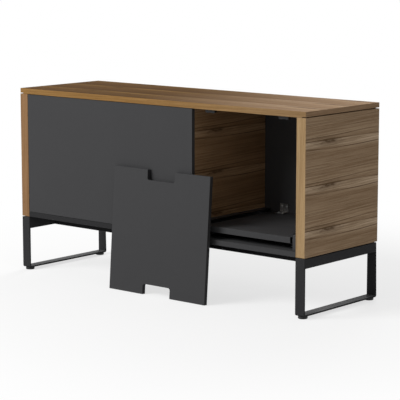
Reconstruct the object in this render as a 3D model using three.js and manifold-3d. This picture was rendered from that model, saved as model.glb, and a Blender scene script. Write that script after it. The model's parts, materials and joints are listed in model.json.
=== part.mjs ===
// Office credenza: a walnut carcass on two flat-bar loop legs, with a pull-out bay, a cupboard
// behind sliding doors, and a lift-out back panel that has been taken off and leans on the back.
// Millimetres, +Z up. The doors face -Y, the cable side faces +Y, and left is -X seen from the front.
import * as THREE from "three";
import { mergeVertices } from "three/addons/utils/BufferGeometryUtils.js";
import Module from "manifold-3d";

const wasm = await Module();
wasm.setup();

// Overall size
const width = 1430;
const depth = 450;
const height = 740;
const carcassUnderside = 221;

// Boards
const topThickness = 22;
const topRevealHeight = 3.5;
const topRevealDepth = 16;
const sideThickness = 40;
const bottomThickness = 19;
const partitionThickness = 18;
const backThickness = 16;
const shelfThickness = 19;
const trayThickness = 22;
const frontThickness = 16;
const doorThickness = 16;
const bayWidth = 482;

// Clearances: seatGap between pieces that touch, runGap between pieces that slide or turn
const seatGap = 0.2;
const runGap = 0.4;
const panelGap = 1.5;

// Lift-out back panel, its cable notches, and how it leans
const notchWidth = 136;
const notchDepth = 40;
const notchRadius = 9;
const leanFootOut = 37;
const leanCentreX = -57;
const strikeThickness = 1;
const strikeRadius = 9;
const stopLength = 44;
const stopDepth = 14;
const stopHeight = 12;
const stopInset = 70;

// Loop legs, the frame between them and the levelling feet
const legBarWidth = 40;
const legBarThickness = 6;
const legBendRadius = 2;
const legReveal = 3;
const railHeight = 36;
const carrierThickness = 6;
const carrierHeight = 49;
const beamWidth = 40;
const beamInset = 140;
const beamScrewSpan = 1000;
const beamScrewRadius = 2.75;
const beamAccessRadius = 6;
const tubeWall = 3;
const tubeCorner = 4.5;
const footHeight = 10;
const footRadius = 17.5;
const footChamfer = 1.5;
const footInset = 20;
const studRadius = 4;
const studTipGap = 1;

// Shelf and its pegs
const shelfHeight = 470;
const shelfSideGap = 1;
const pegRadius = 2.5;
const pegShank = 8;
const pegReach = 8;
const pegSeatRadius = 3.5;
const pegInset = 37;
const pegPitch = 32;
const pegHolesEachWay = 2;

// Telescopic slides: three nested rolled channels on two ball cages
const slideHeight = 45;
const slideThickness = 12.7;
const slideSheet = 1.2;
const slideWebGap = 1.4;
const slideLip = 0.4;
const slideLipGap = 0.7;
const slideBend = 1;
const slideStopSpace = 6;
const slideStopHeight = 14;
const slideHoleInset = 35;
const slideHoleRadius = 2.3;
const slideWindowLength = 26;
const slideWindowHeight = 12;
const slideSpacer = 26;
const slideFrontSpace = 6;
const slideBackSpace = 2;
const outerBall = 3;
const innerBall = 3.4;
const ballPlay = 0.15;
const cageSheet = 0.6;
const cageLength = 152;
const ballsPerRow = 6;

// Pull-out tray
const trayUnderGap = 24;
const trayBackGap = 3;
const bracketLeg = 36;
const bracketSheet = 3;
const bracketBend = 2;
const bracketHoleRadius = 2.3;
const bracketHoleOut = 24;
const bracketHolePitch = 22;
const bracketWidth = 40;
const bracketInset = 60;
const handleSpan = 170;
const handleReach = 26;
const handleBarThickness = 5;
const handleBarWidth = 10;
const handleBendRadius = 3;
const handleDrop = 60;

// Sliding doors, their finger cups and tracks
const doorSetback = 4;
const doorGap = 4;
const doorOverlap = 24;
const trackMargin = 3;
const grooveWidth = 8;
const bottomTrackHeight = 9;
const topTrackHeight = 14;
const trackFloor = 2;
const shoePlate = 3;
const shoePlateWidth = 13;
const shoeLength = 50;
const shoeInset = 60;
const shoeClearance = 1.5;
const cupRadius = 18;
const cupFlange = 3;
const cupFlangeThickness = 1.2;
const cupDepth = 11;
const cupWall = 1.5;
const cupInset = 48;

// Facets on round pieces
const roundSides = 24;
const smallSides = 12;
const ballSides = 8;

// Planes that several pieces share
const endX = width / 2;
const innerX = endX - sideThickness;
const backY = depth / 2;
const frontY = -depth / 2;
const topUnder = height - topThickness;
const floorZ = carcassUnderside + bottomThickness;
const bayLeft = -innerX;
const bayRight = bayLeft + bayWidth;
const cupboardLeft = bayRight + partitionThickness;
const cupboardRight = innerX;
const backInnerY = backY - backThickness;

const walnut = new THREE.MeshStandardMaterial({ color: 0x7d6040, roughness: 0.55, metalness: 0 });
const anthracite = new THREE.MeshStandardMaterial({ color: 0x474747, roughness: 0.6, metalness: 0 });
const blackSteel = new THREE.MeshStandardMaterial({ color: 0x262627, roughness: 0.5, metalness: 0.3 });
const zincSteel = new THREE.MeshStandardMaterial({ color: 0xb5b6b4, roughness: 0.35, metalness: 0.9 });
const blackPlastic = new THREE.MeshStandardMaterial({ color: 0x161616, roughness: 0.6, metalness: 0 });
const darkAluminium = new THREE.MeshStandardMaterial({ color: 0x3a3b3d, roughness: 0.4, metalness: 0.8 });

// A closed geometry as a solid that can be cut or joined
function solidOf(geometry) {
  const loose = geometry.index ? geometry.toNonIndexed() : geometry;
  const bare = new THREE.BufferGeometry();
  bare.setAttribute("position", loose.getAttribute("position"));
  const merged = mergeVertices(bare, 1e-3);
  const mesh = new wasm.Mesh({
    numProp: 3,
    vertProperties: merged.attributes.position.array,
    triVerts: new Uint32Array(merged.index.array),
  });
  return new wasm.Manifold(mesh);
}

function geometryOf(solid) {
  const mesh = solid.getMesh();
  const geometry = new THREE.BufferGeometry();
  geometry.setAttribute("position", new THREE.BufferAttribute(mesh.vertProperties, 3));
  geometry.setIndex(new THREE.BufferAttribute(mesh.triVerts, 1));
  geometry.computeVertexNormals();
  return geometry;
}

function cut(geometry, tools) {
  const left = tools.reduce((solid, tool) => solid.subtract(solidOf(tool)), solidOf(geometry));
  return geometryOf(left);
}

function join(geometries) {
  const whole = geometries.map(solidOf).reduce((sum, solid) => sum.add(solid));
  return geometryOf(whole);
}

// Extrusions centred on their own length: a Y-Z outline along X, an X-Z outline along Y
function extrude(shape, length, curveSegments) {
  const geometry = new THREE.ExtrudeGeometry(shape, { depth: length, bevelEnabled: false, curveSegments });
  return geometry.translate(0, 0, -length / 2);
}

function alongX(shape, length, curveSegments = 4) {
  const turn = new THREE.Matrix4().makeBasis(
    new THREE.Vector3(0, 1, 0),
    new THREE.Vector3(0, 0, 1),
    new THREE.Vector3(1, 0, 0),
  );
  return extrude(shape, length, curveSegments).applyMatrix4(turn);
}

function alongY(shape, length, curveSegments = 4) {
  return extrude(shape, length, curveSegments).rotateX(Math.PI / 2);
}

function outline(points) {
  return new THREE.Shape(points.map(([x, y]) => new THREE.Vector2(x, y)));
}

// Draws a centred rectangle with round corners on an empty path
function roundedRectangle(path, halfX, halfY, radius) {
  const quarter = Math.PI / 2;
  const x = halfX - radius;
  const y = halfY - radius;
  path.absarc(x, y, radius, 0, quarter, false);
  path.absarc(-x, y, radius, quarter, 2 * quarter, false);
  path.absarc(-x, -y, radius, 2 * quarter, 3 * quarter, false);
  path.absarc(x, -y, radius, 3 * quarter, 4 * quarter, false);
  return path;
}

// A rectangular tube's section, centred, with its bore as a hole
function tubeSection(across, tall) {
  const section = roundedRectangle(new THREE.Shape(), across / 2, tall / 2, tubeCorner);
  const boreX = across / 2 - tubeWall;
  const boreY = tall / 2 - tubeWall;
  section.holes.push(roundedRectangle(new THREE.Path(), boreX, boreY, tubeCorner - tubeWall));
  return section;
}

// The section of a folded sheet along a path through its middle, each corner bent to an inside radius
function sheetSection(path, sheet, bend, steps = 3) {
  const points = path.map(([x, y]) => new THREE.Vector2(x, y));
  const origin = new THREE.Vector2();
  const middle = bend + sheet / 2;
  const right = [];
  const left = [];
  const heading = (from, to) => to.clone().sub(from).normalize();
  const rightOf = (way) => new THREE.Vector2(way.y, -way.x);
  const lay = (point, outward) => {
    right.push(point.clone().addScaledVector(outward, sheet / 2));
    left.push(point.clone().addScaledVector(outward, -sheet / 2));
  };
  lay(points[0], rightOf(heading(points[0], points[1])));
  for (let index = 1; index < points.length - 1; index++) {
    const before = heading(points[index - 1], points[index]);
    const after = heading(points[index], points[index + 1]);
    const turn = Math.atan2(before.cross(after), before.dot(after));
    const reach = Math.sign(turn) * middle;
    const start = points[index].clone().addScaledVector(before, -middle * Math.tan(Math.abs(turn) / 2));
    const centre = start.addScaledVector(rightOf(before), -reach);
    for (let step = 0; step <= steps; step++) {
      const outward = rightOf(before).rotateAround(origin, (turn * step) / steps);
      lay(centre.clone().addScaledVector(outward, reach), outward);
    }
  }
  lay(points.at(-1), rightOf(heading(points.at(-2), points.at(-1))));
  return new THREE.Shape([...right, ...left.reverse()]);
}

// A bar bent twice into a U, seen side on: its base lies on y = 0 and its arms rise to y = rise
function bentBar(span, rise, thickness, bendRadius) {
  const reach = span / 2;
  const outer = bendRadius + thickness;
  const shape = new THREE.Shape();
  shape.moveTo(-reach, rise);
  shape.absarc(-reach + outer, outer, outer, Math.PI, 1.5 * Math.PI, false);
  shape.absarc(reach - outer, outer, outer, 1.5 * Math.PI, 2 * Math.PI, false);
  shape.lineTo(reach, rise);
  shape.lineTo(reach - thickness, rise);
  shape.absarc(reach - outer, outer, bendRadius, 2 * Math.PI, 1.5 * Math.PI, true);
  shape.absarc(-reach + outer, outer, bendRadius, 1.5 * Math.PI, Math.PI, true);
  shape.lineTo(-reach + thickness, rise);
  return shape;
}

// A turned piece about X, Y or Z; the profile is radius against distance along the axis
function turned(profile, axis, sides) {
  const points = profile.map(([radius, along]) => new THREE.Vector2(radius, along));
  const geometry = new THREE.LatheGeometry(points, sides);
  if (axis === "x") geometry.rotateZ(-Math.PI / 2);
  if (axis === "z") geometry.rotateX(Math.PI / 2);
  return geometry;
}

function place(parent, name, geometry, material, x = 0, y = 0, z = 0) {
  const mesh = new THREE.Mesh(geometry, material);
  mesh.name = name;
  mesh.position.set(x, y, z);
  parent.add(mesh);
  return mesh;
}

// A board between three pairs of planes, with any cutting tools given in the same frame
function board(parent, name, material, [x0, x1], [y0, y1], [z0, z1], tools = []) {
  const block = new THREE.BoxGeometry(x1 - x0, y1 - y0, z1 - z0);
  block.translate((x0 + x1) / 2, (y0 + y1) / 2, (z0 + z1) / 2);
  return place(parent, name, tools.length ? cut(block, tools) : block, material);
}

// Doors' planes, used by the tracks, the shelf and the doors
const frontDoorY = frontY + doorSetback + doorThickness / 2;
const rearDoorY = frontDoorY + doorThickness + doorGap;
const doorPitch = rearDoorY - frontDoorY;
const trackMiddleY = (frontDoorY + rearDoorY) / 2;
const trackDepth = doorPitch + grooveWidth + 2 * trackMargin;
const shelfFront = rearDoorY + doorThickness / 2 + Math.max(shoePlate, trackMargin) + panelGap;
const shelfBack = backInnerY - seatGap;
const pegColumns = [shelfFront + pegInset, shelfBack - pegInset];
const pegZ = shelfHeight - seatGap - pegSeatRadius;

// Rows of peg holes drilled square into one upright's face at faceX
function pegHoles(faceX) {
  const bore = pegRadius + runGap / 2;
  const length = pegShank + 2 * runGap;
  const holes = [];
  for (const y of pegColumns) {
    for (let step = -pegHolesEachWay; step <= pegHolesEachWay; step++) {
      const hole = new THREE.CylinderGeometry(bore, bore, 2 * length, smallSides).rotateZ(Math.PI / 2);
      holes.push(hole.translate(faceX, y, pegZ + step * pegPitch));
    }
  }
  return holes;
}

// Carcass
function buildCarcass() {
  const group = new THREE.Group();
  const sideZ = [carcassUnderside, topUnder - seatGap];

  const topSection = outline([
    [-endX + topRevealDepth, topUnder],
    [endX - topRevealDepth, topUnder],
    [endX - topRevealDepth, topUnder + topRevealHeight],
    [endX, topUnder + topRevealHeight],
    [endX, height],
    [-endX, height],
    [-endX, topUnder + topRevealHeight],
    [-endX + topRevealDepth, topUnder + topRevealHeight],
  ]);
  place(group, "top_panel", alongY(topSection, depth), walnut);

  board(group, "side_panel_left", walnut, [-endX, -innerX], [frontY, backY], sideZ);
  board(group, "side_panel_right", walnut, [innerX, endX], [frontY, backY], sideZ, pegHoles(innerX));
  const between = [-innerX + seatGap, innerX - seatGap];
  board(group, "bottom_panel", anthracite, between, [frontY, backY], [carcassUnderside, floorZ]);

  const uprightZ = [floorZ + seatGap, topUnder - seatGap];
  const partitionY = [frontY, backInnerY - seatGap];
  const partitionTools = pegHoles(cupboardLeft);
  board(group, "bay_partition", walnut, [bayRight, cupboardLeft], partitionY, uprightZ, partitionTools);

  const backX = [bayRight, innerX - panelGap];
  const backZ = [floorZ + panelGap, topUnder - panelGap];
  board(group, "back_panel_fixed", anthracite, backX, [backInnerY, backY], backZ);

  const shelfX = [cupboardLeft + shelfSideGap, cupboardRight - shelfSideGap];
  const shelfZ = [shelfHeight, shelfHeight + shelfThickness];
  board(group, "cupboard_shelf", walnut, shelfX, [shelfFront, shelfBack], shelfZ);

  // Each peg's shank sits in a hole of the upright and the shelf lies on its thick end
  const peg = [
    [0, -pegShank],
    [pegRadius, -pegShank],
    [pegRadius, seatGap],
    [pegSeatRadius, seatGap],
    [pegSeatRadius, pegReach],
    [0, pegReach],
  ];
  const rows = { front: pegColumns[0], rear: pegColumns[1] };
  for (const [row, y] of Object.entries(rows)) {
    const leftPeg = turned(peg, "x", smallSides);
    const rightPeg = turned(peg, "x", smallSides).rotateZ(Math.PI);
    place(group, `shelf_peg_left_${row}`, leftPeg, zincSteel, cupboardLeft, y, pegZ);
    place(group, `shelf_peg_right_${row}`, rightPeg, zincSteel, cupboardRight, y, pegZ);
  }
  return group;
}

// Underframe: two bent flat-bar loops, closed by rails, carried by plates and two long beams
function buildUnderframe() {
  const group = new THREE.Group();
  const loopTop = carcassUnderside - legReveal;
  const loopRise = loopTop - footHeight;
  const railLength = depth - 2 * (legBarThickness + seatGap);
  const railWidth = legBarWidth - carrierThickness - seatGap;
  const footY = depth / 2 - footInset;
  const barBore = studRadius + runGap;

  const stud = () => new THREE.CylinderGeometry(barBore, barBore, 4 * legBarThickness, roundSides);
  const bores = [-footY, footY].map((y) => stud().rotateX(Math.PI / 2).translate(0, y, 0));
  const loop = cut(alongX(bentBar(depth, loopRise, legBarThickness, legBendRadius), legBarWidth), bores);
  const rail = alongY(tubeSection(railWidth, railHeight), railLength);
  const carrier = new THREE.BoxGeometry(carrierThickness, railLength, carrierHeight - seatGap);
  const footProfile = [
    [0, 0],
    [footRadius - footChamfer, 0],
    [footRadius, footChamfer],
    [footRadius, footHeight - seatGap - footChamfer],
    [footRadius - footChamfer, footHeight - seatGap],
    [studRadius, footHeight - seatGap],
    [studRadius, footHeight + legBarThickness - studTipGap],
    [0, footHeight + legBarThickness - studTipGap],
  ];

  for (const [side, sign] of [
    ["left", -1],
    ["right", 1],
  ]) {
    const barX = sign * (endX - legBarWidth / 2);
    const railX = sign * (endX - railWidth / 2);
    const carrierX = sign * (endX - legBarWidth + carrierThickness / 2);
    const carrierZ = carcassUnderside - seatGap - (carrierHeight - seatGap) / 2;
    place(group, `leg_loop_${side}`, loop, blackSteel, barX, 0, footHeight);
    place(group, `leg_rail_${side}`, rail, blackSteel, railX, 0, loopTop - railHeight / 2);
    place(group, `carrier_plate_${side}`, carrier, blackSteel, carrierX, 0, carrierZ);
    for (const [end, y] of [
      ["front", -footY],
      ["rear", footY],
    ]) {
      const foot = turned(footProfile, "z", roundSides);
      place(group, `levelling_foot_${side}_${end}`, foot, blackPlastic, barX, y, 0);
    }
  }

  const beamLength = width - 2 * (legBarWidth + seatGap);
  const beamHeight = carrierHeight - seatGap;
  const beamY = depth / 2 - beamInset - beamWidth / 2;
  const beamZ = carcassUnderside - seatGap - beamHeight / 2;
  const beamDrills = [-1, 0, 1].flatMap((place) => {
    const screw = new THREE.CylinderGeometry(beamScrewRadius, beamScrewRadius, 4 * tubeWall, smallSides);
    const access = new THREE.CylinderGeometry(beamAccessRadius, beamAccessRadius, 4 * tubeWall, smallSides);
    const x = (place * beamScrewSpan) / 2;
    return [
      screw.rotateX(Math.PI / 2).translate(x, 0, beamHeight / 2),
      access.rotateX(Math.PI / 2).translate(x, 0, -beamHeight / 2),
    ];
  });
  for (const [end, y] of [
    ["front", -beamY],
    ["rear", beamY],
  ]) {
    const beam = cut(alongX(tubeSection(beamWidth, beamHeight), beamLength), beamDrills);
    place(group, `underframe_beam_${end}`, beam, blackSteel, 0, y, beamZ);
  }
  return group;
}

// Pull-out planes
const trayBottom = floorZ + trayUnderGap;
const trayTop = trayBottom + trayThickness;
const slideZ = (trayBottom + trayTop) / 2;
const frontBackY = frontY + frontThickness;
const trayBackY = backInnerY - trayBackGap;
const slideFrontY = frontBackY + slideFrontSpace;
const slideBackY = trayBackY - slideBackSpace;
const slideLength = slideBackY - slideFrontY;
const slideMiddleY = (slideFrontY + slideBackY) / 2;

// Races, half heights of the three channels, and where each web and flange lies off the wall
const outerRace = outerBall / 2 + ballPlay;
const innerRace = innerBall / 2 + ballPlay;
const outerHalf = slideHeight / 2;
const middleHalf = outerHalf - slideSheet - 2 * outerRace;
const innerHalf = middleHalf - slideSheet - 2 * innerRace;
const middleWeb = slideSheet + slideWebGap;
const innerFlange = middleWeb + slideSheet + slideWebGap;
const middleEnd = slideThickness - slideSheet - slideLipGap;
const outerEnd = middleEnd - slideLipGap;

// A rolled channel opening to +x, from its web's back at x0 to its lips' face at x1; bends fit the balls
function channel(x0, x1, half, race) {
  const webX = x0 + slideSheet / 2;
  const lipX = x1 - slideSheet / 2;
  const flangeZ = half - slideSheet / 2;
  const lipZ = half - slideSheet - race - slideLip;
  const path = [
    [lipX, lipZ],
    [lipX, flangeZ],
    [webX, flangeZ],
    [webX, -flangeZ],
    [lipX, -flangeZ],
    [lipX, -lipZ],
  ];
  return sheetSection(path, slideSheet, race);
}

// The inner channel's web lies against the tray and its flanges reach back into the middle one
function innerChannel() {
  const webX = slideThickness - slideSheet / 2;
  const flangeZ = innerHalf - slideSheet / 2;
  const path = [
    [innerFlange, flangeZ],
    [webX, flangeZ],
    [webX, -flangeZ],
    [innerFlange, -flangeZ],
  ];
  return sheetSection(path, slideSheet, slideBend);
}

// Where screws go through the slides, along their length
const slideHoles = [-1, 0, 1].map((place) => place * (slideLength / 2 - slideHoleInset));

function screwHoles() {
  return slideHoles.map((y) => {
    const hole = new THREE.CylinderGeometry(slideHoleRadius, slideHoleRadius, 4 * slideThickness, smallSides);
    return hole.rotateZ(Math.PI / 2).translate(0, y, 0);
  });
}

// Round-ended windows in the middle channel that let a screwdriver reach the outer one
function screwWindows() {
  const radius = slideWindowHeight / 2;
  const straight = (slideWindowLength - slideWindowHeight) / 2;
  const shape = new THREE.Shape();
  shape.absarc(straight, 0, radius, -Math.PI / 2, Math.PI / 2, false);
  shape.absarc(-straight, 0, radius, Math.PI / 2, 1.5 * Math.PI, false);
  return slideHoles.map((y) => alongX(shape, 4 * slideThickness).translate(0, y, 0));
}

// The outer channel, with a tab turned in at its rear end that stops the middle one
function outerChannel(rear) {
  const plain = alongY(channel(0, outerEnd, outerHalf, outerRace), slideLength);
  const tabEnd = middleWeb + slideSheet;
  const tab = new THREE.BoxGeometry(tabEnd, slideSheet, slideStopHeight);
  tab.translate(tabEnd / 2, (rear * (slideLength - slideSheet)) / 2, 0);
  return cut(join([plain, tab]), screwHoles());
}

// A ball cage: a thin channel from x0, its flanges at the level of the balls, with two rows of balls
function ballCage(x0, level, ballX, ball) {
  const flangeEnd = ballX + ball / 2;
  const strip = outline([
    [x0, -level - cageSheet / 2],
    [flangeEnd, -level - cageSheet / 2],
    [flangeEnd, -level + cageSheet / 2],
    [x0 + cageSheet, -level + cageSheet / 2],
    [x0 + cageSheet, level - cageSheet / 2],
    [flangeEnd, level - cageSheet / 2],
    [flangeEnd, level + cageSheet / 2],
    [x0, level + cageSheet / 2],
  ]);
  const pieces = [alongY(strip, cageLength)];
  const pitch = cageLength / ballsPerRow;
  for (const z of [-level, level]) {
    for (let count = 0; count < ballsPerRow; count++) {
      const y = (count + 0.5) * pitch - cageLength / 2;
      pieces.push(new THREE.SphereGeometry(ball / 2, ballSides, ballSides / 2).translate(ballX, y, z));
    }
  }
  return join(pieces);
}

// Telescopic slides on spacer battens that stand on the floor; the right one is the left turned half round
function buildSlides() {
  const group = new THREE.Group();
  const battenY = [slideFrontY, backInnerY - seatGap];
  const battenZ = [floorZ + seatGap, slideZ + outerHalf];
  const battenLeft = [bayLeft + seatGap, bayLeft + slideSpacer];
  const battenRight = [bayRight - slideSpacer, bayRight - seatGap];
  board(group, "slide_batten_left", anthracite, battenLeft, battenY, battenZ);
  board(group, "slide_batten_right", anthracite, battenRight, battenY, battenZ);

  const outerLevel = (outerHalf - slideSheet + middleHalf) / 2;
  const innerLevel = (middleHalf - slideSheet + innerHalf) / 2;
  const outerCageX = slideSheet + (slideWebGap - cageSheet) / 2;
  const innerCageX = middleWeb + slideSheet + (slideWebGap - cageSheet) / 2;
  const outerBallX = outerEnd - slideSheet - outerRace;
  const innerBallX = middleEnd - slideSheet - innerRace;
  const middleSection = channel(middleWeb, middleEnd, middleHalf, innerRace);
  const middleLength = slideLength - 2 * slideStopSpace;

  for (const [side, wallX, turn, rear] of [
    ["left", bayLeft + slideSpacer + seatGap, 0, 1],
    ["right", bayRight - slideSpacer - seatGap, Math.PI, -1],
  ]) {
    const slide = new THREE.Group();
    slide.position.set(wallX, slideMiddleY, slideZ);
    slide.rotation.z = turn;
    group.add(slide);
    const members = {
      slide_outer: outerChannel(rear),
      slide_middle: cut(alongY(middleSection, middleLength), screwWindows()),
      slide_inner: cut(alongY(innerChannel(), slideLength), screwHoles()),
      ball_cage_outer: ballCage(outerCageX, outerLevel, outerBallX, outerBall),
      ball_cage_inner: ballCage(innerCageX, innerLevel, innerBallX, innerBall),
    };
    for (const [member, geometry] of Object.entries(members)) {
      place(slide, `${member}_${side}`, geometry, zincSteel);
    }
  }
  return group;
}

// Pull-out tray with its front panel, two angle brackets and a flat-bar handle
function buildTray() {
  const group = new THREE.Group();
  const traySide = slideSpacer + slideThickness + 2 * seatGap;
  const trayX = [bayLeft + traySide, bayRight - traySide];
  const trayY = [frontBackY + seatGap, trayBackY];
  board(group, "pullout_tray", anthracite, trayX, trayY, [trayBottom, trayTop]);

  const frontX = [bayLeft + panelGap, bayRight - panelGap];
  const frontZ = [floorZ + panelGap, topUnder - panelGap];
  board(group, "tray_front", anthracite, frontX, [frontY, frontBackY], frontZ);

  const sheetMiddle = bracketSheet / 2;
  const anglePath = [
    [bracketLeg, sheetMiddle],
    [sheetMiddle, sheetMiddle],
    [sheetMiddle, bracketLeg],
  ];
  const angle = sheetSection(anglePath, bracketSheet, bracketBend);
  const bracketHoles = () => {
    const drill = () => {
      const length = 4 * bracketSheet;
      return new THREE.CylinderGeometry(bracketHoleRadius, bracketHoleRadius, length, smallSides);
    };
    return [-bracketHolePitch / 2, bracketHolePitch / 2].flatMap((x) => [
      drill().translate(x, sheetMiddle, bracketHoleOut),
      drill().rotateX(Math.PI / 2).translate(x, bracketHoleOut, sheetMiddle),
    ]);
  };
  for (const [side, x] of [
    ["left", trayX[0] + bracketInset],
    ["right", trayX[1] - bracketInset],
  ]) {
    const bracket = cut(alongX(angle, bracketWidth), bracketHoles());
    place(group, `tray_bracket_${side}`, bracket, zincSteel, x, frontBackY + seatGap, trayTop + seatGap);
  }

  // The handle's arms rise to the front panel's face and its base stands off in front of it
  const bar = bentBar(handleSpan, handleReach, handleBarThickness, handleBendRadius);
  const handle = extrude(bar, handleBarWidth, 4);
  const handleX = (bayLeft + bayRight) / 2;
  const handleY = frontY - seatGap - handleReach;
  place(group, "tray_handle", handle, blackSteel, handleX, handleY, frontZ[1] - handleDrop);
  return group;
}

// Sliding doors: a twin-groove track below and above, and two doors that pass each other
const bottomTrackTop = floorZ + seatGap + bottomTrackHeight;
const topTrackBottom = topUnder - seatGap - topTrackHeight;
const doorBottom = bottomTrackTop + shoeClearance + shoePlate + seatGap;
const doorTop = topTrackBottom - shoeClearance - shoePlate - seatGap;
const cupboardWidth = cupboardRight - cupboardLeft;
const doorWidth = (cupboardWidth + doorOverlap) / 2 - panelGap;

// A track's section with its grooves opening upwards, centred on the two doors
function trackSection(tall) {
  const edge = trackDepth / 2;
  const near = doorPitch / 2 - grooveWidth / 2;
  const far = doorPitch / 2 + grooveWidth / 2;
  return outline([
    [-edge, 0],
    [edge, 0],
    [edge, tall],
    [far, tall],
    [far, trackFloor],
    [near, trackFloor],
    [near, tall],
    [-near, tall],
    [-near, trackFloor],
    [-far, trackFloor],
    [-far, tall],
    [-edge, tall],
  ]);
}

// A runner shoe: a plate under the door's edge with a tongue that drops into the groove
function runnerShoe(trackHeight) {
  const tongue = grooveWidth / 2 - runGap;
  const plate = shoePlateWidth / 2;
  const drop = shoeClearance + trackHeight - trackFloor - runGap;
  const section = outline([
    [-tongue, -drop],
    [tongue, -drop],
    [tongue, 0],
    [plate, 0],
    [plate, shoePlate],
    [-plate, shoePlate],
    [-plate, 0],
    [-tongue, 0],
  ]);
  return alongX(section, shoeLength);
}

function buildDoors() {
  const group = new THREE.Group();
  const trackLength = cupboardWidth - 2 * seatGap;
  const trackX = (cupboardLeft + cupboardRight) / 2;
  const lower = alongX(trackSection(bottomTrackHeight), trackLength);
  const upper = alongX(trackSection(topTrackHeight), trackLength).rotateX(Math.PI);
  place(group, "door_track_bottom", lower, darkAluminium, trackX, trackMiddleY, floorZ + seatGap);
  place(group, "door_track_top", upper, darkAluminium, trackX, trackMiddleY, topUnder - seatGap);

  // The finger cup is open towards the front, with a thin flange on the door's face
  const cupBody = cupRadius - runGap;
  const cup = [
    [0, -cupDepth],
    [cupBody, -cupDepth],
    [cupBody, seatGap],
    [cupRadius + cupFlange, seatGap],
    [cupRadius + cupFlange, seatGap + cupFlangeThickness],
    [cupBody - cupWall, seatGap + cupFlangeThickness],
    [cupBody - cupWall, cupWall - cupDepth],
    [0, cupWall - cupDepth],
  ];
  for (const [side, doorX, doorY, cupX] of [
    ["left", cupboardLeft + panelGap, rearDoorY, cupInset],
    ["right", cupboardRight - panelGap - doorWidth, frontDoorY, doorWidth - cupInset],
  ]) {
    const door = new THREE.Group();
    door.position.set(doorX, doorY, 0);
    group.add(door);
    const cupZ = (doorBottom + doorTop) / 2;
    const face = -doorThickness / 2;
    const boreDepth = cupDepth + runGap;
    const bore = new THREE.CylinderGeometry(cupRadius, cupRadius, 2 * boreDepth, roundSides);
    const slabY = [-doorThickness / 2, doorThickness / 2];
    const slabZ = [doorBottom, doorTop];
    board(door, `door_${side}`, anthracite, [0, doorWidth], slabY, slabZ, [bore.translate(cupX, face, cupZ)]);
    const fingerCup = turned(cup, "y", roundSides).rotateX(Math.PI);
    place(door, `finger_cup_${side}`, fingerCup, blackPlastic, cupX, face, cupZ);
    for (const [end, x] of [
      ["a", shoeInset],
      ["b", doorWidth - shoeInset],
    ]) {
      const shoe = runnerShoe(bottomTrackHeight);
      const guide = runnerShoe(topTrackHeight).rotateX(Math.PI);
      place(door, `door_shoe_${side}_${end}`, shoe, blackPlastic, x, 0, bottomTrackTop + shoeClearance);
      place(door, `door_guide_${side}_${end}`, guide, blackPlastic, x, 0, topTrackBottom - shoeClearance);
    }
  }
  return group;
}

// The lift-out panel's outline: a board with a round-cornered cable notch in its foot and its head
const panelWidth = bayWidth - 2 * panelGap;
const panelHeight = topUnder - floorZ - 2 * panelGap;

function notchedPanel() {
  const edge = panelWidth / 2;
  const side = notchWidth / 2;
  const bend = side - notchRadius;
  const low = notchDepth - notchRadius;
  const high = panelHeight - low;
  const quarter = Math.PI / 2;
  const shape = new THREE.Shape();
  shape.moveTo(-edge, 0);
  shape.lineTo(-side, 0);
  shape.absarc(-bend, low, notchRadius, 2 * quarter, quarter, true);
  shape.absarc(bend, low, notchRadius, quarter, 0, true);
  shape.lineTo(side, 0);
  shape.lineTo(edge, 0);
  shape.lineTo(edge, panelHeight);
  shape.lineTo(side, panelHeight);
  shape.absarc(bend, high, notchRadius, 0, -quarter, true);
  shape.absarc(-bend, high, notchRadius, -quarter, -2 * quarter, true);
  shape.lineTo(-side, panelHeight);
  shape.lineTo(-edge, panelHeight);
  return shape;
}

// It leans with its head near the fixed back; two strike plates on its hidden face meet the stops
const leanRest = strikeThickness + 2 * seatGap + runGap;
const leanAngle = Math.asin((leanFootOut - leanRest) / panelHeight);
const stopX = panelWidth / 2 - stopInset;
const stopBackY = backInnerY - strikeThickness - 2 * seatGap;

function buildLiftOutPanel() {
  const group = new THREE.Group();
  const leaning = new THREE.Group();
  leaning.position.set(leanCentreX, backY + leanFootOut, seatGap);
  leaning.rotation.x = leanAngle;
  group.add(leaning);
  const panel = alongY(notchedPanel(), backThickness, 6);
  place(leaning, "back_panel_lift_out", panel, anthracite, 0, backThickness / 2, 0);

  const strikeZ = panelHeight - strikeRadius - panelGap;
  for (const [side, x] of [
    ["left", -stopX],
    ["right", stopX],
  ]) {
    const strike = new THREE.CylinderGeometry(strikeRadius, strikeRadius, strikeThickness, roundSides);
    const strikeY = -seatGap - strikeThickness / 2;
    place(leaning, `panel_strike_${side}`, strike, zincSteel, x, strikeY, strikeZ);
  }

  // Stops under the top that hold the panel's strikes when it is put back against the battens' ends
  const stop = outline([
    [0, 0],
    [0, stopHeight],
    [-stopDepth / 2, stopHeight],
    [-stopDepth, stopHeight / 2],
    [-stopDepth, 0],
  ]);
  const bayX = (bayLeft + bayRight) / 2;
  for (const [side, x] of [
    ["left", bayX - stopX],
    ["right", bayX + stopX],
  ]) {
    const block = alongX(stop, stopLength).rotateY(Math.PI);
    place(group, `panel_stop_${side}`, block, blackPlastic, x, stopBackY, topUnder - seatGap);
  }
  return group;
}

// The origin is on the floor under the middle of everything, the leaning panel and handle included
const rearReach = backY + leanFootOut + backThickness * Math.cos(leanAngle);
const frontReach = frontY - seatGap - handleReach;
const credenza = new THREE.Group();
credenza.name = "office_credenza";
const assembly = new THREE.Group();
assembly.position.y = -(rearReach + frontReach) / 2;
assembly.add(
  buildCarcass(),
  buildUnderframe(),
  buildSlides(),
  buildTray(),
  buildDoors(),
  buildLiftOutPanel(),
);
credenza.add(assembly);

export default credenza;
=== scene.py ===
# Looks of the office credenza: finishes, softened edges, small fittings, light and camera.
# Metres, +Z up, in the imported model's own frame. The doors face -Y and the cable side +Y.
import json
import math
from collections import namedtuple

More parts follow.
